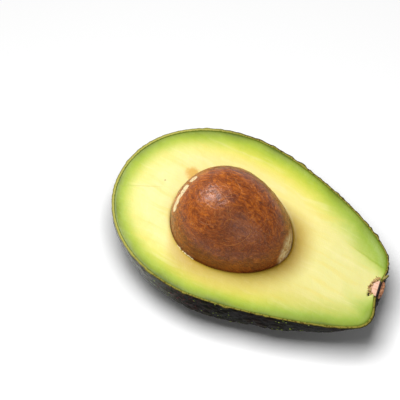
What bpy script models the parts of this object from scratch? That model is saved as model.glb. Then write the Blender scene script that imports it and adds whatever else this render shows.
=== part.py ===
"""Half an avocado with its seed, cut lengthwise and lying on its back, cut face level.

+X runs from the widest section to the stem, +Z is square to the cut face, and z = 0 is
the surface that the flat resting spot lies on. The origin is on that spot, below the
widest section. All sizes are in metres.
"""

import math

import bmesh
import bpy

# The fruit, outside its skin. The neck is a curve from the widest section, where it is
# level, to the shoulder of the stem end, where its slope is neck_angle. Each reach says
# how far the curve keeps the direction that it has at that end.
fruit_length = 0.1037
fruit_width = 0.0677
half_depth = 0.0355             # cut face to back, before the back is flattened
blunt_length = 0.0412           # blunt tip to widest section
blunt_roundness = 2.06          # 2 is an ellipse, and more is squarer
belly_reach = 0.0160
neck_reach = 0.0126
neck_angle = math.radians(37.5)
shoulder_radius = 0.0089
dimple_radius = 0.0090
dimple_depth = 0.0014
stem_lean = math.radians(13)    # the stem end isn't square to the length
lean_power = 3.9                # how late along the neck the lean comes in
neck_rise = 0.0065              # the neck bends up, so the cut passes this far below its middle
rise_power = 5.2                # how late along the neck the bend comes in
flat_depth = 0.0010             # what the resting spot takes off the back

skin_thickness = 0.0012
fit_gap = 0.0003                # between pieces that touch in the real fruit

# The seed, an egg lying along the fruit with its pointed end to the stem.
seed_blunt_length = 0.0186
seed_pointed_length = 0.0265
seed_width = 0.0376
seed_height = 0.0411
seed_point_power = 1.1          # 1 is an ellipse, and more is a sharper point
seed_forward = 0.0001           # seed's widest section from the fruit's, along +X
seed_side = -0.0010             # seed's axis from the fruit's, along +Y
seed_rise = -0.0006             # seed's axis above the cut face
seed_turn = math.radians(-3)

# The stem: a woody core through the skin, and a cap of bark outside it.
stem_side = 0.0013              # stem's axis from the fruit's, along +Y
core_radius = 0.0030
core_depth = 0.0016             # how far it goes into the flesh
core_proud = 0.0001             # how far it stands out of the dimple
cap_thickness = 0.0014

# How finely the curves are cut into faces.
turn_steps = 48
blunt_points = 10
neck_points = 12
shoulder_points = 5
dimple_points = 4
seed_points = 9
seed_steps = 36
stem_steps = 24

widest_radius = fruit_width / 2
neck_length = fruit_length - blunt_length
cut_level = half_depth - flat_depth
dimple_floor = neck_length - dimple_depth
stem_foot = dimple_floor - math.tan(stem_lean) * stem_side
core_start = -skin_thickness - core_depth
beyond = 2 * fruit_length       # longer than anything that a cutter has to pass
merge_distance = 0.00001


def clear_scene():
    for thing in list(bpy.data.objects):
        bpy.data.objects.remove(thing)


def new_collection(name):
    collection = bpy.data.collections.new(name)
    bpy.context.scene.collection.children.link(collection)
    return collection


def new_material(name, colour, roughness):
    material = bpy.data.materials.new(name)
    material.use_nodes = True
    material.diffuse_color = (*colour, 1)
    shader = material.node_tree.nodes["Principled BSDF"]
    shader.inputs["Base Color"].default_value = (*colour, 1)
    shader.inputs["Roughness"].default_value = roughness
    shader.inputs["Metallic"].default_value = 0
    return material


def superellipse(angle, length, radius, power):
    """A point of a quarter outline: angle 0 is its tip, and a right angle its widest."""
    return length * math.cos(angle) ** power, radius * math.sin(angle) ** power


def bezier(start, start_handle, end_handle, end, t):
    weights = ((1 - t) ** 3, 3 * t * (1 - t) ** 2, 3 * t * t * (1 - t), t ** 3)
    points = (start, start_handle, end_handle, end)
    return tuple(sum(w * p[i] for w, p in zip(weights, points)) for i in (0, 1))


def fruit_outline():
    """(x, radius) from the blunt tip, over belly, neck and shoulder, to the dimple."""
    right_angle = math.pi / 2
    points = []
    for step in range(blunt_points):
        angle = right_angle * step / blunt_points
        x, radius = superellipse(angle, blunt_length, widest_radius, 2 / blunt_roundness)
        points.append((-x, radius))

    centre = neck_length - shoulder_radius, dimple_radius
    shoulder = (
        centre[0] + shoulder_radius * math.sin(neck_angle),
        centre[1] + shoulder_radius * math.cos(neck_angle),
    )
    belly_handle = belly_reach, widest_radius
    neck_handle = (
        shoulder[0] - neck_reach * math.cos(neck_angle),
        shoulder[1] + neck_reach * math.sin(neck_angle),
    )
    for step in range(neck_points):
        t = step / neck_points
        points.append(bezier((0, widest_radius), belly_handle, neck_handle, shoulder, t))

    for step in range(shoulder_points):
        angle = neck_angle + (right_angle - neck_angle) * step / shoulder_points
        points.append((
            centre[0] + shoulder_radius * math.sin(angle),
            centre[1] + shoulder_radius * math.cos(angle),
        ))

    for step in range(dimple_points + 1):
        share = 1 - step / dimple_points
        sunk = dimple_depth * (1 + math.cos(math.pi * share)) / 2
        points.append((neck_length - sunk, dimple_radius * share))
    return points


def seed_outline():
    """(x, radius) from the blunt tip to the pointed one."""
    right_angle = math.pi / 2
    points = []
    for step in range(seed_points):
        angle = right_angle * step / seed_points
        x, radius = superellipse(angle, seed_blunt_length, seed_width / 2, 1)
        points.append((-x, radius))
    for step in range(seed_points, -1, -1):
        angle = right_angle * step / seed_points
        x = seed_pointed_length * math.cos(angle)
        points.append((x, seed_width / 2 * math.sin(angle) ** seed_point_power))
    return points


def moved_in(points, inset):
    """The outline moved square to itself, inwards where inset is positive."""
    moved = []
    for i, (x, radius) in enumerate(points):
        if i == 0:
            moved.append((x + inset, 0))
        elif i == len(points) - 1:
            moved.append((x - inset, 0))
        else:
            along = points[i + 1][0] - points[i - 1][0]
            across = points[i + 1][1] - points[i - 1][1]
            length = math.hypot(along, across)
            moved.append((x + inset * across / length, radius - inset * along / length))
    return moved


def turned_mesh(name, points, steps):
    """The outline turned about the X axis, with no row of its corners at the cut."""
    profile = bpy.data.meshes.new(name + "_profile")
    half_step = math.pi / steps
    corners = [
        (x, radius * math.cos(half_step), radius * math.sin(half_step))
        for x, radius in reversed(points)
    ]
    edges = [(i, i + 1) for i in range(len(points) - 1)]
    profile.from_pydata(corners, edges, [])
    turning = bpy.data.objects.new(name + "_profile", profile)
    bpy.context.scene.collection.objects.link(turning)
    screw = turning.modifiers.new("Turn", "SCREW")
    screw.axis = "X"
    screw.steps = steps
    screw.render_steps = steps
    screw.use_merge_vertices = True
    screw.merge_threshold = merge_distance
    graph = bpy.context.evaluated_depsgraph_get()
    mesh = bpy.data.meshes.new_from_object(turning.evaluated_get(graph))
    bpy.data.objects.remove(turning)
    mesh.name = name
    mesh.shade_smooth()
    return mesh


def add_object(name, mesh, collection):
    thing = bpy.data.objects.new(name, mesh)
    collection.objects.link(thing)
    return thing


def as_cutter(thing):
    thing.hide_render = True
    thing.display_type = "WIRE"
    return thing


def slab(name, low, high, collection):
    """A cutter that fills all the space between two levels."""
    mesh = bpy.data.meshes.new(name)
    shape = bmesh.new()
    bmesh.ops.create_cube(shape, size=1)
    bmesh.ops.scale(shape, vec=(beyond, beyond, high - low), verts=shape.verts)
    shape.to_mesh(mesh)
    shape.free()
    box = add_object(name, mesh, collection)
    box.location.z = (low + high) / 2
    return as_cutter(box)


def boolean(thing, cutter, operation):
    modifier = thing.modifiers.new(cutter.name, "BOOLEAN")
    modifier.operation = operation
    modifier.solver = "EXACT"
    modifier.object = cutter


def along_neck(point, power):
    """0 at the widest section and 1 at the stem end."""
    return max(0, point.x / neck_length) ** power


def risen(point):
    """A point of the round fruit moved as the neck bends up. The cut outline stays."""
    rise = neck_rise * along_neck(point, rise_power)
    depth = math.hypot(point.z, rise) - rise
    point.z = math.copysign(depth * half_depth / widest_radius, point.z)
    return point


def leaning(point):
    """A point of the fruit moved as the stem end leans."""
    point.x -= math.tan(stem_lean) * point.y * along_neck(point, lean_power)
    return point


def fruit_body(name, inset, top, collection, cutters):
    """The fruit's outer shape, moved in by inset, between its flattened back and top."""
    mesh = turned_mesh(name, moved_in(fruit_outline(), inset), turn_steps)
    for vertex in mesh.vertices:
        vertex.co = leaning(risen(vertex.co))
    body = add_object(name, mesh, collection)
    body.location.z = cut_level
    boolean(body, slab(name + "_slab", inset, top, cutters), "INTERSECT")
    return body


def seed_body(name, inset, collection):
    mesh = turned_mesh(name, moved_in(seed_outline(), inset), seed_steps)
    for vertex in mesh.vertices:
        vertex.co.z *= seed_height / seed_width
    body = add_object(name, mesh, collection)
    body.location = (seed_forward, seed_side, cut_level + seed_rise)
    body.rotation_euler.z = seed_turn
    return body


def stem_rod(name, radius, start, end, collection):
    """A rod on the stem's own axis. start and end are measured out from the dimple."""
    mesh = bpy.data.meshes.new(name)
    shape = bmesh.new()
    bmesh.ops.create_cone(
        shape, cap_ends=True, segments=stem_steps, radius1=radius, radius2=radius,
        depth=end - start,
    )
    quarter = math.pi / 2
    for vertex in shape.verts:
        x, y, z = vertex.co
        vertex.co = (z + (start + end) / 2, y, -x)
    shape.to_mesh(mesh)
    shape.free()
    mesh.set_sharp_from_angle(angle=quarter / 3)
    rod = add_object(name, mesh, collection)
    rod.location = (stem_foot, stem_side, cut_level)
    rod.rotation_euler.z = stem_lean
    return rod


def build_skin(parts, cutters, stem_hole):
    skin = fruit_body("skin", 0, cut_level, parts, cutters)
    hollow = as_cutter(fruit_body("skin_hollow", skin_thickness, beyond, cutters, cutters))
    boolean(skin, hollow, "DIFFERENCE")
    boolean(skin, stem_hole, "DIFFERENCE")
    return skin


def build_flesh(parts, cutters, stem_hole):
    flesh = fruit_body("flesh", skin_thickness + fit_gap, cut_level, parts, cutters)
    seed_hollow = as_cutter(seed_body("seed_hollow", -fit_gap, cutters))
    boolean(flesh, seed_hollow, "DIFFERENCE")
    boolean(flesh, stem_hole, "DIFFERENCE")
    return flesh


def build_stem(parts, cutters):
    below_cut = slab("below_cut", 0, cut_level, cutters)
    core = stem_rod("stem_core", core_radius, core_start, core_proud, parts)
    cap_start = core_proud + fit_gap
    cap = stem_rod("stem_cap", core_radius, cap_start, cap_start + cap_thickness, parts)
    for piece in (core, cap):
        boolean(piece, below_cut, "INTERSECT")
    return core, cap


def build_avocado_half():
    clear_scene()
    parts = new_collection("avocado_half")
    cutters = new_collection("cutters")
    stem_hole = as_cutter(stem_rod(
        "stem_hole", core_radius + fit_gap, core_start - fit_gap, beyond, cutters,
    ))
    skin = build_skin(parts, cutters, stem_hole)
    flesh = build_flesh(parts, cutters, stem_hole)
    seed = seed_body("seed", 0, parts)
    core, cap = build_stem(parts, cutters)
    finishes = (
        (skin, "skin", (0.045, 0.055, 0.022), 0.4),
        (flesh, "flesh", (0.78, 0.72, 0.27), 0.5),
        (seed, "seed", (0.27, 0.10, 0.035), 0.4),
        (core, "stem_wood", (0.72, 0.48, 0.36), 0.7),
        (cap, "stem_bark", (0.22, 0.13, 0.07), 0.8),
    )
    for piece, name, colour, roughness in finishes:
        piece.data.materials.append(new_material(name, colour, roughness))


build_avocado_half()
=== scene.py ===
import math
import bpy
import numpy as np
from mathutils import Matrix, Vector, noise


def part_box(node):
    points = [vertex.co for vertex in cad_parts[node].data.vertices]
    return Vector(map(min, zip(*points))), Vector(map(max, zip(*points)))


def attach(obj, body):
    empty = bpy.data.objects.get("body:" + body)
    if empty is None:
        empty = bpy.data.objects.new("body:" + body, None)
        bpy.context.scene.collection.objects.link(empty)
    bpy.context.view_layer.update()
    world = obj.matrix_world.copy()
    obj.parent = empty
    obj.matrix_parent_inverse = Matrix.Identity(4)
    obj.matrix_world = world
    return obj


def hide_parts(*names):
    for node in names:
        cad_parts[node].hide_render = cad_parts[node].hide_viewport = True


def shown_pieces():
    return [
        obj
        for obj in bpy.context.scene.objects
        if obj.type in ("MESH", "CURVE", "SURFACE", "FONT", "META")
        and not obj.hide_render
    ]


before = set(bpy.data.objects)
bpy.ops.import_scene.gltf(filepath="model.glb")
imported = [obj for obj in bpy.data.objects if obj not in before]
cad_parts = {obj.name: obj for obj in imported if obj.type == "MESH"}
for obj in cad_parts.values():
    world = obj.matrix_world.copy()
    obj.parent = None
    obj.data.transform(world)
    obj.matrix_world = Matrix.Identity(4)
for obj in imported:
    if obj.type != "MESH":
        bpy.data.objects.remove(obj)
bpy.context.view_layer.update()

skinLow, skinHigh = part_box("skin")
cutLevel = skinHigh.z
mm = 0.001

# The fruit's shape, the same curves that its solid parts were turned from.
fruit = {
    "bluntLength": -skinLow.x,
    "neckLength": 0.0625,
    "widestRadius": (skinHigh.y - skinLow.y) / 2,
    "halfDepth": 0.0355,
    "bluntRoundness": 2.06,
    "bellyReach": 0.0160,
    "neckReach": 0.0126,
    "neckAngle": math.radians(37.5),
    "shoulderRadius": 0.0089,
    "dimpleRadius": 0.0090,
    "dimpleDepth": 0.0014,
    "stemLean": math.radians(13),
    "leanPower": 3.9,
    "neckRise": 0.0065,
    "risePower": 5.2,
}


# small tools for lines and meshes
def spaced(line, count):
    steps = np.linalg.norm(np.diff(line, axis=0), axis=1)
    along = np.concatenate([[0], np.cumsum(steps)])
    wanted = np.linspace(0, along[-1], count)
    return np.stack([np.interp(wanted, along, column) for column in line.T], axis=1)


def smooth(low, high, value):
    share = np.clip((value - low) / (high - low), 0, 1)
    return share * share * (3 - 2 * share)


def noiseAt(points, size, shift=0):
    # about -1 to 1, with features of that size
    places = (points / size + shift).reshape(-1, 3)
    return np.array([noise.noise(Vector(p)) for p in places]).reshape(points.shape[:-1])


def roundFace(corners):
    kept = [c for i, c in enumerate(corners) if c != corners[i - 1]]
    return kept if len(set(kept)) == len(kept) > 2 else None


def ringFaces(rows, around):
    # four-sided faces between neighbouring rows of points, each row closed on itself
    row, column = np.meshgrid(np.arange(rows - 1), np.arange(around), indexing="ij")
    after = (column + 1) % around
    corners = [row * around + column, row * around + after,
               (row + 1) * around + after, (row + 1) * around + column]
    return np.stack(corners, axis=-1).reshape(-1, 4).tolist()


def outwardMesh(name, points, faces, values=None, sharpAngle=55):
    # one vertex for each place, faces turned outwards, and a named value at each vertex
    points = points.reshape(-1, 3)
    _, first, index = np.unique(np.round(points, 7), axis=0, return_index=True, return_inverse=True)
    index = index.reshape(-1)
    faces = [roundFace([int(index[c]) for c in face]) for face in faces]
    faces = [face for face in faces if face]
    corners = np.array([(face[0], face[k], face[k + 1]) for face in faces for k in range(1, len(face) - 1)])
    kept = points[first]
    if np.linalg.det(kept[corners]).sum() < 0:
        faces = [face[::-1] for face in faces]
    mesh = bpy.data.meshes.new(name)
    mesh.from_pydata(kept.tolist(), [], faces)
    mesh.shade_smooth()
    mesh.set_sharp_from_angle(angle=math.radians(sharpAngle))
    for title, numbers in (values or {}).items():
        attribute = mesh.attributes.new(title, "FLOAT", "POINT")
        attribute.data.foreach_set("value", numbers.reshape(-1)[first].astype(np.float32))
    return mesh


def addPiece(name, mesh, finish, slotName, *nodes):
    piece = bpy.data.objects.new(name, mesh)
    bpy.context.scene.collection.objects.link(piece)
    mesh.materials.append(finish)
    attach(piece, "root")
    if nodes:
        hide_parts(*nodes)
    print(name, len(mesh.vertices), "vertices")
    return piece


# small tools for finishes
def paint(red, green, blue):
    # a colour as it looks on a screen, from 0 to 255, as the shader counts it
    parts = [part / 255 for part in (red, green, blue)]
    return tuple(p / 12.92 if p < 0.04045 else ((p + 0.055) / 1.055) ** 2.4 for p in parts) + (1,)


def sumOf(operation, turned=False):
    def worked(self, other):
        pair = (other, self) if turned else (self, other)
        return self.finish.node("Math", {"operation": operation}, {0: pair[0], 1: pair[1]})
    return worked


class Wire:
    # an output socket that takes part in Python sums
    def __init__(self, finish, socket):
        self.finish = finish
        self.socket = socket

    __add__ = sumOf("ADD")
    __radd__ = sumOf("ADD", True)
    __sub__ = sumOf("SUBTRACT")
    __rsub__ = sumOf("SUBTRACT", True)
    __mul__ = sumOf("MULTIPLY")
    __rmul__ = sumOf("MULTIPLY", True)
    __truediv__ = sumOf("DIVIDE")

    def other(self, index):
        # another output of the same node
        return Wire(self.finish, self.socket.node.outputs[index])


class Finish:
    def __init__(self, name, **shader):
        self.material = bpy.data.materials.new(name)
        self.material.use_nodes = True
        self.nodes = self.material.node_tree.nodes
        self.links = self.material.node_tree.links
        self.shader = self.nodes["Principled BSDF"]
        for title, value in shader.items():
            self.shader.inputs[title.replace("_", " ")].default_value = value
        coords = self.node("TexCoord", {}, {}, "Object")
        self.place = self.node("VectorMath", {"operation": "SCALE"}, {0: coords, "Scale": 1000})  # in mm

    def node(self, kind, settings, sockets, out=0):
        made = self.nodes.new("ShaderNode" + kind)
        for title, value in settings.items():
            if title == "stops":
                self.setStops(made.color_ramp, value)
            else:
                setattr(made, title, value)
        for key, value in sockets.items():
            self.feed(made.inputs[key], value)
        return Wire(self, made.outputs[out])

    def setStops(self, ramp, stops):
        while len(ramp.elements) < len(stops):
            ramp.elements.new(0.5)
        for element, (position, colour) in zip(ramp.elements, stops):
            element.position = position
            element.color = colour

    def feed(self, socket, value):
        if isinstance(value, Wire):
            self.links.new(value.socket, socket)
        else:
            socket.default_value = value

    def value(self, title):
        return self.node("Attribute", {"attribute_name": title}, {}, "Fac")

    def noise(self, scale, detail=3, place=None, **more):
        sockets = {"Vector": place or self.place, "Scale": scale, "Detail": detail, **more}
        return self.node("TexNoise", {}, sockets)

    def stretched(self, x, y, z, place=None):
        return self.node("VectorMath", {"operation": "MULTIPLY"}, {0: place or self.place, 1: (x, y, z)})

    def warped(self, amount, scale, place=None):
        place = place or self.place
        push = self.node("TexNoise", {}, {"Vector": place, "Scale": scale, "Detail": 2}, "Color")
        centred = self.node("VectorMath", {"operation": "SUBTRACT"}, {0: push, 1: (0.5, 0.5, 0.5)})
        sockets = {0: centred, 1: (amount,) * 3, 2: place}
        return self.node("VectorMath", {"operation": "MULTIPLY_ADD"}, sockets)

    def ramp(self, factor, *stops):
        return self.node("ValToRGB", {"stops": stops}, {"Fac": factor})

    def between(self, value, low, high):
        # 0 below low, 1 above high, and smooth on the way
        return self.node("MapRange", {"interpolation_type": "SMOOTHSTEP"},
                         {"Value": value, "From Min": low, "From Max": high})

    def mix(self, factor, first, second):
        return self.node("Mix", {"data_type": "RGBA"}, {0: factor, 6: first, 7: second}, 2)

    def near(self, centre, reach, place=None):
        # 1 at a place in mm, and 0 at reach from it
        sockets = {0: place or self.place, 1: centre}
        away = self.node("VectorMath", {"operation": "DISTANCE"}, sockets, "Value")
        return self.between(away, reach, 0)

    def bump(self, height, distance, strength=1):
        return self.node("Bump", {}, {"Height": height, "Distance": distance, "Strength": strength})

    def finished(self, **sockets):
        for title, value in sockets.items():
            self.feed(self.shader.inputs[title.replace("_", " ")], value)
        return self.material


# the fruit's outline and what is turned from it
def fruitOutline():
    # (x, radius) from the blunt tip to the middle of the dimple
    turn = np.linspace(0, math.pi / 2, 400)[:, None]
    power = 2 / fruit["bluntRoundness"]
    radius, length = fruit["widestRadius"], fruit["neckLength"]
    blunt = np.hstack([-fruit["bluntLength"] * np.cos(turn) ** power, radius * np.sin(turn) ** power])
    angle, bend = fruit["neckAngle"], fruit["shoulderRadius"]
    centre = np.array([length - bend, fruit["dimpleRadius"]])
    shoulder = centre + bend * np.array([math.sin(angle), math.cos(angle)])
    handle = shoulder + fruit["neckReach"] * np.array([-math.cos(angle), math.sin(angle)])
    t = np.linspace(0, 1, 400)[:, None]
    neck = ((1 - t) ** 3 * [0, radius] + 3 * t * (1 - t) ** 2 * [fruit["bellyReach"], radius]
            + 3 * t * t * (1 - t) * handle + t ** 3 * shoulder)
    turn = angle + (math.pi / 2 - angle) * t
    round_ = centre + bend * np.hstack([np.sin(turn), np.cos(turn)])
    share = 1 - t
    sunk = fruit["dimpleDepth"] * (1 + np.cos(math.pi * share)) / 2
    dimple = np.hstack([length - sunk, fruit["dimpleRadius"] * share])
    return np.vstack([blunt, neck[1:], round_[1:], dimple[1:]])


def movedIn(line, inset):
    # the outline moved square to itself, with its ends kept on the axis
    slope = np.gradient(line, axis=0)
    slope /= np.linalg.norm(slope, axis=1)[:, None]
    moved = line + inset * np.stack([slope[:, 1], -slope[:, 0]], axis=1)
    moved[0] = line[0] + [inset, 0]
    moved[-1] = line[-1] - [inset, 0]
    return moved


def neckShare(x, power):
    # 0 at the widest place and 1 at the end of the neck
    return np.clip(x / fruit["neckLength"], 0, None) ** power


def risen(x, depth):
    # the neck bends up, so the cut passes below its middle and it is shallower
    rise = fruit["neckRise"] * neckShare(x, fruit["risePower"])
    return (np.hypot(depth, rise) - rise) * fruit["halfDepth"] / fruit["widestRadius"]


def leaning(points):
    # the stem end isn't square to the length
    moved = points.copy()
    share = neckShare(points[..., 0], fruit["leanPower"])
    moved[..., 0] -= math.tan(fruit["stemLean"]) * points[..., 1] * share
    return moved


def upright(points):
    # the other way: where a leaning point came from
    found = points.copy()
    for _ in range(4):
        found[..., 0] = points[..., 0] + found[..., 0] - leaning(found)[..., 0]
    return found


def turned(line, angles):
    # the line turned about the fruit's length: 0 is the +y side, and a quarter turn is straight down
    x, radius = line[:, :1], line[:, 1:]
    return np.stack([x + 0 * angles, radius * np.cos(angles), -radius * np.sin(angles)], axis=-1)


def lowered(points):
    # a round half as it is in the fruit
    return np.concatenate([points[..., :2], -risen(points[..., :1], -points[..., 2:])], axis=-1)


def slopesOf(grid):
    # the way that each point of a grid faces
    facing = np.cross(np.gradient(grid, axis=0), np.gradient(grid, axis=1))
    return facing / np.maximum(np.linalg.norm(facing, axis=-1, keepdims=True), 1e-12)


outline = fruitOutline()


# where the stem goes, which the skin and the flesh leave room for
stem = {
    "side": 1.3 * mm,
    "coreRadius": 3.2 * mm,
    "core": (-2.8 * mm, 0.1 * mm),
    "capRadius": 3.4 * mm,
    "cap": (0.35 * mm, 1.8 * mm),
    "rows": 26,
    "around": 48,
    "proud": 0.1 * mm,      # how far its flat side stands above the cut
    "strands": 110,
    "woodStart": -2.8,      # how far in the clean wood goes at the middle, in mm
    "woodCurve": 0.19,      # and how that falls off across it
}


def stemWays():
    # where the stem's axis leaves the dimple, and the ways along it and across it
    lean = fruit["stemLean"]
    foot = np.array([fruit["neckLength"] - fruit["dimpleDepth"], 0, 0])
    foot = foot + stem["side"] * np.array([-math.tan(lean), 1, 0])
    return foot, np.array([math.cos(lean), math.sin(lean), 0]), np.array([-math.sin(lean), math.cos(lean), 0])


def stemPlaced(along, across):
    foot, ahead, side = stemWays()
    return foot + [0, 0, cutLevel] + np.multiply.outer(along, ahead) + np.multiply.outer(across, side)


skin = {
    "thickness": 1.2 * mm,
    "rows": 328,
    "columns": 232,
    "innerColumns": 16,
    "bandColumns": 3,
    "holeRadius": 2.9 * mm,
    "pebble": (4.4 * mm, 2.5 * mm, 2.5 * mm),
    "neckBump": 0.62 * mm,
    "bluntBump": 0.20 * mm,
    "pebbleMiddle": 0.62,                     # the pebble height that leaves the outline where it is
    "lump": 0.55 * mm,
    "fine": 0.05 * mm,
    "pullIn": 0.3 * mm,                       # on the -y side of the neck
    "pullInAtEnd": 0.4 * mm,                  # and this much more at its end
    "edgeRise": 0.05 * mm,
    "innerLift": 0.4 * mm,
}


def pebbleHeight(points):
    # rounded pebbles with creases between them, from 0 to 1
    bent = points + 1.1 * mm * np.stack([noiseAt(points, 5 * mm, s) for s in (3, 17, 41)], axis=-1)
    cells = (bent / np.array(skin["pebble"])).reshape(-1, 3)
    near = np.array([noise.voronoi(Vector(p), distance_metric="DISTANCE", exponent=2.5)[0][:2]
                     for p in cells])
    crease = smooth(0, 0.62, near[:, 1] - near[:, 0])
    dome = 1 - np.clip(near[:, 0], 0, 1) ** 2
    return (crease * (0.45 + 0.55 * dome)).reshape(points.shape[:-1])


def buildSkin():
    line = spaced(outline, 1600)
    inside = movedIn(line, skin["thickness"])
    keep = (line[:, 0] < 0) | (line[:, 1] > skin["holeRadius"])
    line, inside = line[keep], inside[keep]
    pick = np.linspace(0, len(line) - 1, skin["rows"]).round().astype(int)
    line, inside = line[pick], inside[pick]

    angles = np.linspace(0, math.pi, skin["columns"])[None]
    outer = lowered(turned(line, angles))
    facing = slopesOf(outer)
    facing[0] = (-1, 0, 0)
    if (facing[..., 2] * outer[..., 2]).sum() < 0:
        facing = -facing
    pebbles = pebbleHeight(outer)
    towardNeck = smooth(-34 * mm, 26 * mm, outer[..., 0])
    bump = skin["bluntBump"] + (skin["neckBump"] - skin["bluntBump"]) * towardNeck
    deep = smooth(0, 9 * mm, -outer[..., 2])
    lumps = skin["lump"] * noiseAt(outer, 15 * mm, 5) * deep
    fine = skin["fine"] * noiseAt(outer, 1.3 * mm, 11)
    # it is smoother and a little tighter on the -y side of the neck
    tight = smooth(26 * mm, 50 * mm, outer[..., 0]) * smooth(8 * mm, -4 * mm, outer[..., 1])
    raised = pebbles - skin["pebbleMiddle"]
    rise = bump * (1 - 0.65 * tight) * raised + lumps * (1 - 0.8 * tight) + fine
    pull = skin["pullIn"] + skin["pullInAtEnd"] * smooth(50 * mm, 58 * mm, outer[..., 0])
    rise = rise - pull * tight * smooth(0, 2 * mm, -outer[..., 2])
    rise[0] = rise[0].mean()
    facing[:, 0, 2] = facing[:, -1, 2] = 0
    outer = outer + facing * rise[..., None]

    backAngles = np.linspace(math.pi, 0, skin["innerColumns"])[None]
    inner = lowered(turned(inside, backAngles))
    shares = np.linspace(0, 1, skin["bandColumns"] + 2)[1:-1]
    leftBand = [outer[:, -1] * (1 - s) + inner[:, 0] * s for s in shares]
    rightBand = [inner[:, -1] * (1 - s) + outer[:, 0] * s for s in shares]
    ring = np.concatenate([outer, np.stack(leftBand, 1), inner, np.stack(rightBand, 1)], axis=1)
    around = ring.shape[1]
    cutEdge = np.zeros((len(line), around))
    band = skin["bandColumns"]
    cutEdge[:, skin["columns"]:skin["columns"] + band] = shares
    cutEdge[:, -band:] = shares[::-1]
    cutEdge[:, skin["columns"] + band:around - band] = 1
    ring[:, skin["columns"]:skin["columns"] + band, 2] += skin["edgeRise"]
    ring[:, -band:, 2] += skin["edgeRise"]
    height = np.full((len(line), around), 0.5)
    height[:, :skin["columns"]] = pebbles
    ring = leaning(ring)
    ring[..., 2] = np.maximum(ring[..., 2] + cutLevel, 0)
    inward = ring[:, skin["columns"] + band:around - band, 2]   # a view, so this lifts the ring itself
    inward += skin["innerLift"] * smooth(cutLevel, 0, inward)

    # the hole round the stem is closed by a strip of faces from the outside to the inside
    faces = ringFaces(len(line), around)
    lastRow = (len(line) - 1) * around
    outsideEdge = [lastRow + i for i in range(skin["columns"])]
    insideEdge = [lastRow + around - 1 - band - i for i in range(skin["innerColumns"])]
    strip = stitched(outsideEdge, insideEdge)
    ends = [[outsideEdge[0]] + [lastRow + around - 1 - i for i in range(band)] + [insideEdge[0]],
            [outsideEdge[-1]] + [outsideEdge[-1] + 1 + i for i in range(band)] + [insideEdge[-1]]]
    strip[0] = ends[0] + [c for c in strip[0] if c not in ends[0]]
    strip[-1] = ends[1][::-1] + [c for c in strip[-1] if c not in ends[1]]
    return outwardMesh("skin", ring, faces + strip, {"pebble": height, "cutEdge": cutEdge})


def stitched(first, second):
    # triangles between two rows with different numbers of points
    i = j = 0
    faces = []
    while i < len(first) - 1 or j < len(second) - 1:
        firstIsBehind = (i + 1) / len(first) <= (j + 1) / len(second)
        if j == len(second) - 1 or (i < len(first) - 1 and firstIsBehind):
            faces.append([first[i], second[j], first[i + 1]])
            i += 1
        else:
            faces.append([first[i], second[j], second[j + 1]])
            j += 1
    return faces


def skinFinish():
    f = Finish("darkPebbledSkin", Roughness=0.4, Specular_IOR_Level=0, Coat_Roughness=0.25)
    x = f.node("SeparateXYZ", {}, {0: f.place})
    z = x.other(2)
    pebble, edge = f.value("pebble"), f.value("cutEdge")
    cloud = f.noise(0.06, 3)
    fleck = f.noise(1.1, 2)
    tone = f.between(pebble, 0.1, 0.95)
    crease = f.mix(f.between(cloud, 0.35, 0.65), paint(8, 10, 5), paint(14, 9, 8))
    top = f.mix(f.between(cloud + 0.2 * fleck, 0.4, 0.75), paint(31, 40, 18), paint(38, 28, 23))
    dark = f.mix(tone, crease, top)
    blunt = f.between(x, -4, -38)
    green = f.mix(f.between(fleck, 0.5, 0.66), paint(30, 42, 15), paint(96, 114, 38))
    body = f.mix(blunt * 0.6 * f.between(cloud, 0.25, 0.6), dark, green)
    # a faint pale bloom round the blunt end, partly wax and partly painted sheen, and purple flecks in it
    waxAndPaintedSheen = f.between(x + 8 * (cloud - 0.5), 8, -12) * f.between(z, 12, 26)
    blotch = f.between(f.noise(1.6, 4), 0.38, 0.62)
    body = f.mix(waxAndPaintedSheen * (0.12 + 0.20 * blotch), body, paint(118, 128, 104))
    purple = f.between(f.noise(1.0, 3), 0.54, 0.62) * f.between(x, 18, -2) * f.between(z, 20, 30)
    body = f.mix(purple * 0.8, body, paint(86, 44, 44))
    # small pale pores, scattered between and on the pebbles
    dots = f.node("TexVoronoi", {}, {"Vector": f.warped(1.5, 0.3), "Scale": 0.42}, "Distance")
    dots = f.between(dots, 0.20, 0.12) * f.between(f.noise(0.25, 2), 0.42, 0.58)
    body = f.mix(dots * 0.9, body, paint(142, 160, 62))
    # the cut edge: brown outside, then a golden line, then green beside the flesh
    nicks = f.noise(1.3, 4)
    wander = edge + 0.5 * (nicks - 0.5)
    gold = f.mix(f.between(nicks, 0.50, 0.62), paint(150, 142, 62), paint(88, 70, 32))
    # it is paler round the blunt end
    paler = f.between(x, -6, -28)
    gold = f.mix(paler * 0.8, gold, paint(192, 188, 98))
    brown = f.mix(paler * 0.7, paint(62, 58, 22), paint(150, 146, 60))
    cutColour = f.mix(f.between(wander, 0.10, 0.42), brown, gold)
    cutColour = f.mix(f.between(wander, 0.62, 0.92), cutColour, paint(104, 120, 36))
    cut = f.between(edge, 0.02, 0.1)
    colour = f.mix(cut, body, cutColour)
    grain = f.noise(2.6, 4)
    bump = f.bump(grain * 0.6 + dots * 0.5, 0.0002, 0.7)
    rough = 0.34 + 0.22 * f.noise(0.9, 3) + 0.2 * cut
    shine = (0.10 + 0.6 * f.between(x, 2, -26)) * (1 - cut)
    return f.finished(Base_Color=colour, Roughness=rough, Normal=bump, Coat_Weight=shine)


addPiece("skinHalf", buildSkin(), skinFinish(), "skin", "skin")


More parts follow.
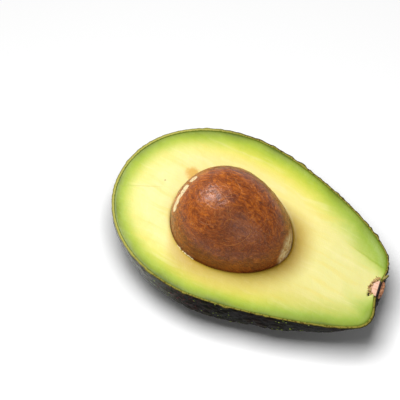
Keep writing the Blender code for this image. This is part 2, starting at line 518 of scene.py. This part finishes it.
seed = {
    "bluntLength": 18.6 * mm,
    "pointedLength": 26.5 * mm,
    "width": 37.6 * mm,
    "height": 41.1 * mm,
    "pointPower": 1.1,
    "centre": Vector((0.1 * mm, -1.0 * mm, cutLevel - 0.6 * mm)),
    "turn": math.radians(-3),
    "bareSide": (-27, 11),                    # bare patches: degrees round from the blunt end
    "bareHeight": (24, 41),                   # and degrees above the middle
    "bareSteps": (0, 0.18, 0.38, 0.58, 1),
    "bareReach": 2.4,
    "rows": 230,
    "around": 300,
}


def seedOutline(grow=0):
    turn = np.linspace(0, math.pi / 2, 300)[:, None]
    radius = seed["width"] / 2
    blunt = np.hstack([-seed["bluntLength"] * np.cos(turn), radius * np.sin(turn)])
    point = np.hstack([seed["pointedLength"] * np.cos(turn), radius * np.sin(turn) ** seed["pointPower"]])
    return movedIn(np.vstack([blunt, point[::-1][1:]]), -grow)


def seedPlaced(points):
    c, s = math.cos(seed["turn"]), math.sin(seed["turn"])
    x, y, z = points[..., 0], points[..., 1], points[..., 2]
    return np.stack([c * x - s * y, s * x + c * y, z], axis=-1) + np.array(seed["centre"])


def seedRise(points):
    # the seed's own lumps, measured before it is put in its place
    return 0.24 * mm * noiseAt(points, 12 * mm, 7) + 0.07 * mm * noiseAt(points, 3.5 * mm, 23)


def buildSeed():
    line = spaced(seedOutline(), seed["rows"])
    angles = np.linspace(0, 2 * math.pi, seed["around"], endpoint=False)[None]
    body = turned(line, angles) * [1, 1, seed["height"] / seed["width"]]
    facing = slopesOf(body)
    facing[:, 0] = facing[:, -1] = (facing[:, 1] + facing[:, -2]) / 2
    if (facing * body).sum() < 0:
        facing = -facing
    facing[0] = (-1, 0, 0)
    facing[-1] = (1, 0, 0)
    body = body + facing * seedRise(body)[..., None]
    tipDistance = np.linalg.norm(body - [seed["pointedLength"], 0, 0], axis=-1) / mm
    faces = ringFaces(len(line), seed["around"])
    return outwardMesh("seed", seedPlaced(body), faces, {"tipDistance": tipDistance})


def barePlaces():
    # where the bare patches are, in mm, on a seed of this size
    sizes = (seed["bluntLength"], seed["width"] / 2, seed["height"] / 2)
    places = []
    for step in seed["bareSteps"]:
        side = math.radians(float(np.interp(step, (0, 1), seed["bareSide"])))
        height = math.radians(float(np.interp(1 - (1 - step) ** 2, (0, 1), seed["bareHeight"])))
        level = math.cos(height)
        way = (-level * math.cos(side), level * math.sin(side), math.sin(height))
        place = [middle + size * share for middle, size, share in zip(seed["centre"], sizes, way)]
        places.append(tuple(part / mm for part in place))
    return places


def seedFinish():
    f = Finish("seedCoat", Roughness=0.35, Specular_IOR_Level=0.5)
    tip = f.value("tipDistance")
    own = f.node("VectorMath", {"operation": "SUBTRACT"}, {0: f.place, 1: tuple(seed["centre"] / mm)})
    parts = f.node("SeparateXYZ", {}, {0: own})
    x, y, z = parts, parts.other(1), parts.other(2)
    bent = f.warped(7, 0.11)
    blotch = f.noise(0.13, 3, bent, Roughness=0.5)
    fine = f.noise(0.9, 4, f.stretched(0.35, 1, 1, bent), Distortion=0.6)
    # painted shade: a browner patch low on the -y side of the seed
    low = f.between(0.35 * x - 0.75 * y - 0.25 * z, -3, 14)
    tone = 0.36 * blotch + 0.64 * fine - 0.04 * low
    colour = f.ramp(tone, (0.32, paint(94, 38, 8)), (0.43, paint(134, 60, 10)), (0.50, paint(162, 78, 12)),
                    (0.58, paint(190, 100, 20)), (0.70, paint(214, 128, 40)))
    colour = f.mix(low * 0.4, colour, paint(158, 84, 42))
    grain = f.noise(2.6, 3, f.stretched(0.6, 1, 1, bent))
    colour = f.mix(f.between(grain, 0.50, 0.34) * 0.40, colour, paint(74, 30, 8))
    colour = f.mix(f.between(grain, 0.53, 0.70) * 0.35, colour, paint(226, 150, 70))
    # a darker patch in the middle
    colour = f.mix(f.near((8.4, -8.0, 49.0), 13.0, f.warped(4, 0.2)) * 0.6, colour, paint(88, 40, 6))
    hair = f.noise(0.5, 3, bent, Distortion=2.2)
    line = f.between(hair, 0.485, 0.5) * (1 - f.between(hair, 0.5, 0.515))
    colour = f.mix(line * 0.26, colour, paint(212, 132, 50))
    dust = f.between(f.noise(2.4, 2), 0.60, 0.72)
    colour = f.mix(dust * 0.14, colour, paint(206, 134, 66))
    ragged = 3.2 * (f.noise(0.45, 3) - 0.5)
    wedge = f.between(tip + ragged + 0.1 * z - 0.35 * y, 8.6, 6.0)
    pale = f.mix(f.between(f.noise(0.9, 4), 0.38, 0.62), paint(212, 170, 110), paint(255, 234, 188))
    colour = f.mix(wedge * 0.9, colour, pale)
    # where the coat has come away at the blunt end
    torn = f.warped(1.5, 0.6)
    places = barePlaces()
    bare = f.near(places[0], seed["bareReach"], torn)
    for place in places[1:]:
        bare = bare + f.near(place, seed["bareReach"], torn)
    bare = f.between(bare, 0.14, 0.34)
    colour = f.mix(bare, colour, f.mix(f.noise(1.1, 3), paint(236, 190, 120), paint(255, 248, 214)))
    bump = f.bump(fine * 0.55 + line * 0.35 + 0.3 * f.noise(1.9, 3) - 0.4 * bare, 0.0003, 0.8)
    rough = 0.24 + 0.16 * f.noise(0.5, 3) + 0.2 * wedge
    return f.finished(Base_Color=colour, Roughness=rough, Normal=bump)


fibres = {
    "loose": 240,
    # which way from the seed's middle, and how many
    "swirls": (((-0.02, -0.42, 0.91), 44), ((0.43, -0.41, 0.80), 18)),
    "radius": 0.040 * mm,
    "points": 16,
}


def onSeed(ways):
    # where lines from the seed's middle come out of it, lumps included
    line = seedOutline()
    share = seed["height"] / seed["width"]
    low, high = np.zeros(ways.shape[:-1]), np.full(ways.shape[:-1], 0.03)
    for _ in range(26):
        half = (low + high) / 2
        at = ways * half[..., None]
        radius = np.interp(at[..., 0], line[:, 0], line[:, 1], left=0, right=0)
        outside = np.hypot(at[..., 1], at[..., 2] / share) > radius
        low, high = np.where(outside, low, half), np.where(outside, half, high)
    at = ways * low[..., None]
    return at + ways * (seedRise(at) + 0.02 * mm)[..., None]


def strandWays(chance):
    # each strand wanders over the seed, and some go round a swirl
    count = fibres["points"]
    strands = []
    for _ in range(fibres["loose"]):
        way = chance.normal(size=3)
        way[2] = abs(way[2])
        way /= np.linalg.norm(way)
        heading = np.cross(way, chance.normal(size=3))
        heading /= np.linalg.norm(heading)
        bend, stride = chance.normal(0, 0.055), chance.uniform(0.010, 0.030)
        strand = []
        for _ in range(count):
            strand.append(way)
            heading = heading + bend * np.cross(way, heading) + chance.normal(0, 0.03, 3)
            heading -= way * (heading @ way)
            heading /= np.linalg.norm(heading)
            way = way + stride * heading
            way = way / np.linalg.norm(way)
        strands.append(strand)
    for middle, number in fibres["swirls"]:
        middle = np.array(middle) / np.linalg.norm(middle)
        side = np.cross(middle, (0, 0, 1))
        side /= np.linalg.norm(side)
        other = np.cross(middle, side)
        for _ in range(number):
            start, sweep = chance.uniform(0, 2 * math.pi), chance.uniform(0.8, 2.6)
            turn = np.linspace(start, start + sweep, count)
            wide = chance.uniform(0.08, 0.42) * (1 + 0.12 * np.sin(2 * turn + start))
            ring = middle + wide[:, None] * (np.cos(turn)[:, None] * side + np.sin(turn)[:, None] * other)
            strands.append(ring / np.linalg.norm(ring, axis=1)[:, None])
    return np.array(strands)


def tubes(lines, radii, sides=4):
    # thin round strands along lines of points, closed to a point at both ends
    along = np.gradient(lines, axis=1)
    along /= np.linalg.norm(along, axis=-1, keepdims=True)
    across = np.cross(along, (0.31, 0.52, 0.79))
    across /= np.linalg.norm(across, axis=-1, keepdims=True)
    third = np.cross(along, across)
    taper = np.sin(np.linspace(0, math.pi, lines.shape[1])) ** 0.4
    size = radii[:, None] * taper
    turn = np.linspace(0, 2 * math.pi, sides, endpoint=False)
    ring = np.cos(turn)[:, None] * across[:, :, None] + np.sin(turn)[:, None] * third[:, :, None]
    points = lines[:, :, None] + size[..., None, None] * ring
    one = np.array(ringFaces(lines.shape[1], sides))
    faces = [list(face) for k in range(len(lines)) for face in (one + k * lines.shape[1] * sides).tolist()]
    return points, faces


def buildFibres():
    chance = np.random.default_rng(12)
    lines = seedPlaced(onSeed(strandWays(chance)))
    above = lines[..., 2].min(axis=1) > cutLevel + 1.0 * mm
    lines = lines[above]
    radii = fibres["radius"] * chance.uniform(0.5, 1.3, len(lines))
    points, faces = tubes(lines, radii)
    tone = np.broadcast_to(chance.uniform(0, 1, len(lines))[:, None, None], points.shape[:3])
    return outwardMesh("fibres", points, faces, {"tone": tone})


def fibreFinish():
    f = Finish("seedFibre", Roughness=0.5, Specular_IOR_Level=0.4)
    colour = f.ramp(f.value("tone") + 0.3 * (f.noise(0.6) - 0.5), (0.0, paint(132, 62, 16)),
                    (0.6, paint(176, 96, 32)), (1.0, paint(218, 148, 74)))
    return f.finished(Base_Color=colour)


addPiece("seedBody", buildSeed(), seedFinish(), "seed", "seed")
addPiece("seedFibres", buildFibres(), fibreFinish(), "seed")


flesh = {
    "around": 560,
    "faceRings": 96,
    "hollowRings": 10,
    "underRings": 16,
    "edgeInset": 1.15 * mm,
    "seedGap": 0.12 * mm,
    "lipDrop": 0.5 * mm,
    "lipWidth": 0.4 * mm,
    "crowding": 0.65,                         # how much closer the rings lie at the lip and the rim
    "rimDrop": 0.12 * mm,
    "rimWidth": 0.16 * mm,
    "waves": 0.16 * mm,
    "ripples": 0.03 * mm,
    "hollowDepth": 20.8 * mm,
    "hollowStart": 0.4 * mm,
    "fitGap": 0.25 * mm,
    "lowest": 1.6 * mm,                       # above the floor
    "underRim": 0.2 * mm,                     # the underside stays this far below the cut
    # a second, lower stroke of the knife beside the neck: its edge runs between these two places
    "strokeFrom": (59.8 * mm, 8.7 * mm),
    "strokeTo": (44.0 * mm, 11.5 * mm),
    "strokeDrop": 0.25 * mm,
    # a small hole beside the stem, along it and across it from where it leaves the dimple
    "pit": (-2.9 * mm, -2.8 * mm),
    "pitDepth": 1.3 * mm,
    "pitReach": (0.45 * mm, 0.75 * mm),
}


def cutLoop(inset, count):
    # the outline of the cut face, moved in, round from the stem by the +y side
    line = movedIn(spaced(outline, 1600), inset)
    side = np.stack([line[:, 0], line[:, 1], 0 * line[:, 0]], axis=1)[::-1]
    loop = leaning(np.vstack([side, (side * [1, -1, 1])[::-1][1:]]))
    return spaced(loop, count + 1)[:-1]


def reachAt(loop, centre, angles):
    # how far a loop is from centre, in each direction
    away = loop[:, :2] - centre
    angle = np.arctan2(away[:, 1], away[:, 0])
    order = np.argsort(angle)
    reach = np.linalg.norm(away, axis=1)[order]
    return np.interp(angles, angle[order], reach, period=2 * math.pi)


def distanceTo(points, loop):
    near = [np.linalg.norm(part[:, None, :2] - loop[None, :, :2], axis=-1).min(axis=1)
            for part in np.array_split(points.reshape(-1, 3), 60)]
    return np.concatenate(near).reshape(points.shape[:-1])


def strokeShare(points):
    # 1 on the far side of the lower stroke's edge, fading out towards the seed
    start, end = np.array(flesh["strokeFrom"]), np.array(flesh["strokeTo"])
    along = (end - start) / np.linalg.norm(end - start)
    beyond = (points[..., :2] - start) @ np.array([along[1], -along[0]])
    beyond += 0.15 * mm * noiseAt(points, 3 * mm, 31)
    return smooth(-0.05 * mm, 0.3 * mm, beyond) * smooth(41 * mm, 50 * mm, points[..., 0])


def pitShare(points):
    middle = stemPlaced(flesh["pit"][0], flesh["pit"][1])[:2]
    ahead, side = stemWays()[1:]
    away = points[..., :2] - middle
    long, wide = flesh["pitReach"]
    return np.exp(-((away @ ahead[:2] / long) ** 2 + (away @ side[:2] / wide) ** 2))


def buildFlesh():
    centre = np.array(seed["centre"])[:2]
    rim = cutLoop(flesh["edgeInset"], flesh["around"])
    away = rim[:, :2] - centre
    angles = np.arctan2(away[:, 1], away[:, 0])
    seedLine = spaced(seedOutline(flesh["seedGap"]), 900)
    seedSide = np.stack([seedLine[:, 0], seedLine[:, 1], 0 * seedLine[:, 0]], axis=1)
    seedLoop = seedPlaced(np.vstack([seedSide, (seedSide * [1, -1, 1])[::-1]]))
    reach = reachAt(seedLoop, centre, angles)
    lip = np.stack([centre[0] + reach * np.cos(angles), centre[1] + reach * np.sin(angles),
                    0 * reach], axis=1)

    even = np.linspace(0, 1, flesh["faceRings"])
    shares = even - flesh["crowding"] * np.sin(2 * math.pi * even) / (2 * math.pi)
    shares = shares[:, None, None]
    face = lip * (1 - shares) + rim * shares
    rimDistance = distanceTo(face, cutLoop(flesh["edgeInset"], 1500))
    seedDistance = distanceTo(face, seedLoop)
    face[..., 2] -= flesh["lipDrop"] * np.exp(-seedDistance / flesh["lipWidth"])
    face[..., 2] -= flesh["rimDrop"] * np.exp(-rimDistance / flesh["rimWidth"])
    uneven = flesh["waves"] * noiseAt(face, 11 * mm, 2) + flesh["ripples"] * noiseAt(face, 2.2 * mm, 9)
    face[..., 2] += smooth(0, 2 * mm, rimDistance) * uneven

    stroke = strokeShare(face)
    face[..., 2] -= flesh["strokeDrop"] * stroke * smooth(0, 3.5 * mm, rimDistance)
    pit = pitShare(face)
    face[..., 2] -= flesh["pitDepth"] * pit

    sink = np.linspace(0, math.pi / 2, flesh["hollowRings"] + 1)[:0:-1]
    middle = np.array([*centre, 0])
    depths = flesh["hollowDepth"] * np.sin(sink) + flesh["hollowStart"]
    hollow = np.stack([middle + (lip - middle) * math.cos(a) - [0, 0, deep] for a, deep in zip(sink, depths)])
    drop = np.linspace(0, math.pi / 2, flesh["underRings"] + 1)[1:]
    inside = movedIn(spaced(outline, 1600), flesh["edgeInset"] + flesh["fitGap"])
    under = np.stack([middle + (rim - middle) * math.cos(a) for a in drop])
    straight = upright(under)
    inside = inside[:inside[:, 0].argmax() + 1]   # only as far as x keeps rising
    radius = np.interp(straight[..., 0], inside[:, 0], inside[:, 1])
    under[..., 2] = -risen(straight[..., 0], np.sqrt(np.maximum(radius ** 2 - straight[..., 1] ** 2, 0)))
    under[..., 2] = np.clip(under[..., 2], flesh["lowest"] - cutLevel, -flesh["underRim"])
    rings = np.concatenate([hollow, face, under])
    rings[..., 2] += cutLevel

    def everywhere(onFace, below=0):
        # the face's values, with 0 in the hollow and one value on the underside
        return np.concatenate([0 * hollow[..., 0], onFace, below + 0 * under[..., 0]])

    values = {"rimDistance": everywhere(rimDistance) / mm, "stroke": everywhere(stroke),
              "seedDistance": everywhere(seedDistance, 30 * mm) / mm, "pit": everywhere(pit)}
    return outwardMesh("flesh", rings, ringFaces(len(rings), flesh["around"]), values)


def fleshFinish():
    f = Finish("butteryFlesh", Roughness=0.4, Specular_IOR_Level=0.42, Subsurface_Weight=0.08,
               Subsurface_Scale=0.003, Subsurface_Radius=(1.0, 0.75, 0.2))
    rim, seedAway = f.value("rimDistance"), f.value("seedDistance")
    parts = f.node("SeparateXYZ", {}, {0: f.place})
    x, y = parts, parts.other(1)
    cloud = f.noise(0.09, 3)
    mottle = f.noise(0.45, 3)
    grain = f.noise(2.2, 3)
    streaks = f.noise(0.42, 3, f.stretched(0.10, 1, 1, f.warped(5, 0.05)))
    # the green goes deeper towards the neck
    widen = 0.77 + 0.07 * f.between(x, -34, 0) - 0.06 * f.between(x, 20, 46)
    depth = rim * widen + 2.2 * (cloud - 0.5) + 0.9 * (mottle - 0.5) * f.between(rim, 0.2, 2.5)
    # and it is paler round the stem
    foot = stemWays()[0]
    depth = depth + 8.0 * f.near((foot[0] / mm - 2.5, foot[1] / mm, cutLevel / mm), 11.0)
    colour = f.ramp(depth / 9.0, (0.0, paint(100, 118, 22)), (0.05, paint(130, 148, 28)),
                    (0.13, paint(150, 171, 34)), (0.24, paint(170, 191, 42)), (0.36, paint(190, 203, 50)),
                    (0.52, paint(216, 218, 74)), (0.70, paint(236, 228, 104)), (1.0, paint(247, 233, 142)))
    atNeck = f.ramp(depth / 9.0, (0.0, paint(104, 122, 24)), (0.08, paint(138, 160, 38)),
                    (0.26, paint(162, 188, 62)), (0.46, paint(192, 208, 96)), (0.72, paint(222, 225, 130)),
                    (1.0, paint(238, 231, 148)))
    colour = f.mix(f.between(x, 20, 44), colour, atNeck)
    inside = f.between(rim, 2, 8)
    # paler at the blunt end
    colour = f.mix(inside * f.between(x, -6, -30) * 0.45, colour, paint(250, 244, 176))
    colour = f.mix(f.between(streaks, 0.50, 0.72) * 0.38 * inside, colour, paint(240, 219, 98))
    colour = f.mix(f.between(streaks, 0.47, 0.30) * 0.38 * inside, colour, paint(250, 240, 172))
    # beside the neck the lower stroke of the knife shows greener flesh
    greener = (0.0, paint(128, 156, 36)), (0.35, paint(158, 186, 56)), (1.0, paint(188, 204, 84))
    colour = f.mix(f.value("stroke") * 0.72, colour, f.ramp(rim / 8.0, *greener))
    # darker and more golden beside the seed: a golden zone all round it, and painted shade of the seed, most
    # on the -y side
    near = f.between(0.75 * x - 0.70 * y, -6, 16)
    haloAndPaintedShade = f.between(seedAway + 1.8 * (cloud - 0.5), 1.0 + 9.5 * near, 0.0)
    colour = f.mix(haloAndPaintedShade * (0.16 + 0.78 * near), colour, paint(192, 154, 34))
    # painted shade: the flesh below the seed on the -y side is darker and yellower
    lower = f.between(y, -6, -18) * f.between(x, -8, 14)
    colour = f.mix(lower * inside * 0.5, colour, paint(220, 204, 88))
    # a rusty stain at the seed's edge, and a shallow green knife line from the blunt end
    stain = f.near((-18.4, 9.9, cutLevel / mm), 4.0, f.warped(2.2, 0.5))
    colour = f.mix(f.between(stain, 0, 0.7) * 0.8, colour, paint(226, 168, 48))
    speck = f.near((-25.5, 2.8, cutLevel / mm), 0.6)
    colour = f.mix(f.between(speck, 0.1, 0.5) * 0.45, colour, paint(122, 100, 48))
    offLine = 0.894 * (y + 8) - 0.447 * (x + 41)
    knife = f.between(offLine * offLine, 0.10, 0.01) * f.between(x, -40, -37) * f.between(x, -23, -29)
    colour = f.mix(knife * 0.30, colour, paint(176, 186, 70))
    # painted shade: the small hole beside the stem is painted near black
    colour = f.mix(f.between(f.value("pit"), 0.25, 0.6), colour, paint(38, 30, 12))
    bump = f.bump(mottle * 0.45 + grain * 0.3 + streaks * 0.5, 0.0003, 0.5)
    rough = 0.34 + 0.16 * f.noise(0.35, 3)
    return f.finished(Base_Color=colour, Roughness=rough, Normal=bump)


addPiece("fleshHalf", buildFlesh(), fleshFinish(), "flesh", "flesh")


flakes = {
    "count": 9,
    "from": -2.0,        # which way from the seed's middle, in radians
    "to": -1.62,
    "length": (0.5 * mm, 1.5 * mm),
    "radius": (0.15 * mm, 0.32 * mm),
}


def buildFlakes():
    # torn bits of flesh standing at the hollow's lip
    chance = np.random.default_rng(5)
    lines, radii = [], []
    for way in np.linspace(flakes["from"], flakes["to"], flakes["count"]):
        turn = way + chance.uniform(-0.02, 0.02)
        half = chance.uniform(*flakes["length"]) / seed["width"]
        turns = np.linspace(turn - half, turn + half, 9)
        ways = np.stack([np.cos(turns), np.sin(turns), 0 * turns], axis=1)
        line = seedPlaced(onSeed(ways)) + (0.15 + chance.uniform(0, 0.2)) * mm * ways
        line[:, 2] = cutLevel + np.linspace(-0.25, chance.uniform(-0.1, 0.35), 9) * mm
        lines.append(line + 0.06 * mm * chance.normal(size=line.shape))
        radii.append(chance.uniform(*flakes["radius"]))
    points, faces = tubes(np.array(lines), np.array(radii), sides=6)
    return outwardMesh("flakes", points, faces)


def flakeFinish():
    f = Finish("tornFlesh", Roughness=0.5, Specular_IOR_Level=0.4)
    colour = f.mix(f.noise(1.5, 3), paint(232, 208, 122), paint(255, 247, 206))
    return f.finished(Base_Color=colour, Normal=f.bump(f.noise(3), 0.0002, 0.6))


addPiece("fleshFlakes", buildFlakes(), flakeFinish(), "flesh")


# the stem is a woody core through the skin, and a cap of bark
def halfRod(name, ends, radii, roughness, shift):
    # half a round rod, its flat side up, with a radius for each row of points from its inner end
    foot, ahead, side = stemWays()
    shares = np.linspace(0, 1, stem["rows"])
    angles = np.linspace(0, math.pi, stem["around"])
    flat = np.linspace(-1, 1, 14)[1:-1]
    across = np.concatenate([np.cos(angles), flat])
    down = np.concatenate([np.sin(angles), 0 * flat])
    grid = []
    for share in np.concatenate([[0], shares, [1]]):
        radius = radii(share)
        middle = foot + ahead * (ends[0] + (ends[1] - ends[0]) * share)
        grid.append(middle + radius * (across[:, None] * side - down[:, None] * np.array([0, 0, 1])))
    grid = np.array(grid)
    for end in (0, -1):
        grid[end] = grid[end].mean(axis=0)
    push = np.stack([noiseAt(grid[1:-1], 0.9 * mm, shift + k) for k in (0, 7, 19)], axis=-1)
    grid[1:-1] += roughness * push
    grid[..., 2] += cutLevel + stem["proud"]
    return outwardMesh(name, grid, ringFaces(len(grid), grid.shape[1]), sharpAngle=50)


def coreRadii(share):
    # it tapers into the flesh
    return stem["coreRadius"] * (0.30 + 0.70 * math.sin(share * math.pi / 2) ** 0.8)


def capRadii(share):
    # a shallow dome, widest where it meets the core
    return stem["capRadius"] * math.sqrt(max(0.10, 1 - 0.92 * share ** 2))


def stemCoordinates(f):
    # how far along the stem's axis and across it, in mm
    foot, ahead, side = stemWays()
    parts = f.node("SeparateXYZ", {}, {0: f.place})
    x, y = parts - foot[0] / mm, parts.other(1) - foot[1] / mm
    return x * ahead[0] + y * ahead[1], x * side[0] + y * side[1]


def coreFinish():
    f = Finish("stemWood", Roughness=0.7)
    along, across = stemCoordinates(f)
    strands = f.noise(1.2, 3, f.stretched(0.25, 1.6, 1.6))
    wood = f.ramp(strands, (0.3, paint(222, 160, 122)), (0.45, paint(246, 196, 164)),
                  (0.7, paint(255, 214, 190)))
    # torn and tan at its inner end, and painted shade, near black, where it meets the cap
    start = stem["woodStart"] + stem["woodCurve"] * across * across
    torn = f.between(along - start + 0.9 * (f.noise(1.3, 3) - 0.5), 0.2, -0.2)
    tan = f.ramp(f.noise(1.5, 3), (0.35, paint(112, 72, 40)), (0.5, paint(176, 132, 80)),
                 (0.65, paint(206, 168, 108)))
    colour = f.mix(f.between(along, -0.50, -0.30), f.mix(torn, wood, tan), paint(44, 22, 12))
    return f.finished(Base_Color=colour, Normal=f.bump(strands, 0.0003, 0.8))


def capFinish():
    f = Finish("stemBark", Roughness=0.8)
    along = stemCoordinates(f)[0]
    strands = f.noise(1.4, 4)
    bark = f.ramp(strands, (0.3, paint(84, 48, 30)), (0.5, paint(150, 94, 60)), (0.7, paint(196, 142, 102)))
    # painted shade: near black at its inner end, where it meets the core
    colour = f.mix(f.between(along, 0.70, 0.50), bark, paint(38, 20, 12))
    return f.finished(Base_Color=colour, Normal=f.bump(strands, 0.0004, 0.9))


def stemLines(starts, ways, lengths, chance, count=9):
    # short wandering lines beside the stem, from places and ways along and across it
    lines = []
    for start, way, length in zip(starts, ways, lengths):
        share = np.linspace(0, 1, count)
        bend = chance.normal(0, 0.25) * length * share ** 2
        along = start[0] + way[0] * length * share - way[1] * bend
        across = start[1] + way[1] * length * share + way[0] * bend
        line = stemPlaced(along, across)
        line[:, 2] += (0.10 + chance.uniform(0, 0.35) * np.sin(share * math.pi)) * mm - 0.25 * mm * share
        lines.append(line)
    return np.array(lines)


def buildShreds():
    # torn strands round the inner end of the core, longest on its +y side
    chance = np.random.default_rng(8)
    starts, ways, lengths = [], [], []
    for _ in range(stem["strands"]):
        across = chance.uniform(-2.7, 4.0)
        along = stem["woodStart"] + stem["woodCurve"] * across ** 2 + chance.uniform(-0.5, 0.4)
        starts.append((min(along, -0.4) * mm, across * mm))
        way = np.array([-chance.uniform(0.2, 1.0), across / 4 + chance.normal(0, 0.35)])
        ways.append(way / np.linalg.norm(way))
        lengths.append(chance.uniform(0.4, 1.0 + 0.9 * smooth(1, 3, across)) * mm)
    lines = stemLines(starts, ways, lengths, chance)
    points, faces = tubes(lines, chance.uniform(0.06, 0.17, len(lines)) * mm, sides=5)
    tone = np.broadcast_to(chance.uniform(0, 1, len(lines))[:, None, None], points.shape[:3])
    return outwardMesh("shreds", points, faces, {"tone": tone})


def shredFinish():
    f = Finish("tornStrands", Roughness=0.65)
    colour = f.ramp(f.value("tone") + 0.3 * (f.noise(1.2) - 0.5), (0.0, paint(128, 86, 50)),
                    (0.5, paint(200, 156, 98)), (1.0, paint(236, 206, 146)))
    return f.finished(Base_Color=colour)


def buildFlap():
    # a lip of skin left standing between the core and the shoulder
    share = np.linspace(0, 1, 24)
    line = stemPlaced((0.15 + 1.75 * share ** 1.3) * mm, (3.2 + 3.2 * share) * mm)
    line[:, 2] -= 0.45 * mm
    line += 0.06 * mm * np.stack([noiseAt(line, 0.8 * mm, k) for k in (2, 13, 29)], axis=-1)
    points, faces = tubes(line[None], np.array([0.6 * mm]), sides=14)
    return outwardMesh("flap", points, faces)


def flapFinish():
    f = Finish("driedSkin", Roughness=0.6)
    parts = f.node("SeparateXYZ", {}, {0: f.place})
    top = f.between(parts.other(2) + 0.4 * (f.noise(1.5) - 0.5), cutLevel / mm - 0.35, cutLevel / mm + 0.1)
    olive = f.mix(f.noise(1.6, 3), paint(120, 108, 42), paint(184, 170, 90))
    colour = f.mix(top, paint(40, 34, 16), olive)
    return f.finished(Base_Color=colour, Normal=f.bump(f.noise(2.4), 0.0002, 0.7))


addPiece("stemShreds", buildShreds(), shredFinish(), "flesh")
addPiece("stemFlap", buildFlap(), flapFinish(), "skin")
coreMesh = halfRod("core", stem["core"], coreRadii, 0.10 * mm, 4)
addPiece("stemCore", coreMesh, coreFinish(), "stem_wood", "stem_core")
capMesh = halfRod("cap", stem["cap"], capRadii, 0.22 * mm, 9)
addPiece("stemCap", capMesh, capFinish(), "stem_bark", "stem_cap")


studio = {
    "elevation": math.radians(61.1),
    "azimuth": math.radians(29.2),
    "distance": 1.95,
    "lens": 500,
    "aimRight": -0.00863,
    "aimUp": 0.0060,
    "worldStrength": 0.18,
    "floorHalf": 3.0,
    "keyBox": {"place": (-0.33, 0.09, 0.52), "size": (0.30, 0.34), "power": 3.7, "lit": "fruit"},
    "fillBox": {"place": (0.30, -0.25, 0.45), "size": (0.50, 0.50), "power": 0.9, "lit": "fruit"},
    "floorBox": {"place": (0.06, -0.17, 0.66), "size": (0.20, 0.20), "power": 4.8, "lit": "paper"},
}


def cameraWays():
    turn, rise = studio["azimuth"], studio["elevation"]
    right = Vector((math.cos(turn), math.sin(turn), 0))
    toward = Vector((math.sin(turn) * math.cos(rise), -math.cos(turn) * math.cos(rise), math.sin(rise)))
    return right, toward.cross(right), toward


def addCamera():
    right, up, toward = cameraWays()
    aim = Vector((0, 0, cutLevel)) + studio["aimRight"] * right + studio["aimUp"] * up
    data = bpy.data.cameras.new("camera")
    data.lens = studio["lens"]
    data.sensor_width = 36
    data.clip_start = 0.01
    camera = bpy.data.objects.new("camera", data)
    camera.location = aim + studio["distance"] * toward
    camera.rotation_euler = (math.pi / 2 - studio["elevation"], 0, studio["azimuth"])
    bpy.context.scene.collection.objects.link(camera)
    bpy.context.scene.camera = camera


def addSoftbox(name):
    settings = studio[name]
    data = bpy.data.lights.new(name, "AREA")
    data.shape = "RECTANGLE"
    data.size, data.size_y = settings["size"]
    data.energy = settings["power"]
    light = bpy.data.objects.new(name, data)
    light.location = settings["place"]
    toFruit = Vector((0, 0, cutLevel)) - light.location
    light.rotation_euler = toFruit.to_track_quat("-Z", "Y").to_euler()
    bpy.context.scene.collection.objects.link(light)
    light.light_linking.receiver_collection = bpy.data.collections[settings["lit"]]


def addFloor():
    half = studio["floorHalf"]
    corners = [(-half, -half, 0), (half, -half, 0), (half, half, 0), (-half, half, 0)]
    mesh = bpy.data.meshes.new("floor")
    mesh.from_pydata(corners, [], [(0, 1, 2, 3)])
    floor = bpy.data.objects.new("floor", mesh)
    bpy.context.scene.collection.objects.link(floor)
    bpy.data.collections["paper"].objects.link(floor)
    f = Finish("paper", Roughness=0.9, Specular_IOR_Level=0.2)
    mesh.materials.append(f.finished(Base_Color=(0.97, 0.97, 0.97, 1)))


def addWorld():
    world = bpy.data.worlds.new("studio")
    world.use_nodes = True
    nodes, links = world.node_tree.nodes, world.node_tree.links
    # the studio is paler to look at than the light that it gives
    ray = nodes.new("ShaderNodeLightPath")
    strength = nodes.new("ShaderNodeMapRange")
    strength.inputs["To Min"].default_value = studio["worldStrength"]
    strength.inputs["To Max"].default_value = 1
    links.new(ray.outputs["Is Camera Ray"], strength.inputs["Value"])
    links.new(strength.outputs["Result"], nodes["Background"].inputs["Strength"])
    nodes["Background"].inputs["Color"].default_value = (1, 1, 1, 1)
    bpy.context.scene.world = world
    bpy.context.scene.view_settings.view_transform = "Standard"


for name in ("fruit", "paper"):   # what each light falls on
    bpy.data.collections.new(name)
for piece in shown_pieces():
    bpy.data.collections["fruit"].objects.link(piece)
addCamera()
addFloor()
for name in ("keyBox", "fillBox", "floorBox"):
    addSoftbox(name)
addWorld()
print("studio ready")
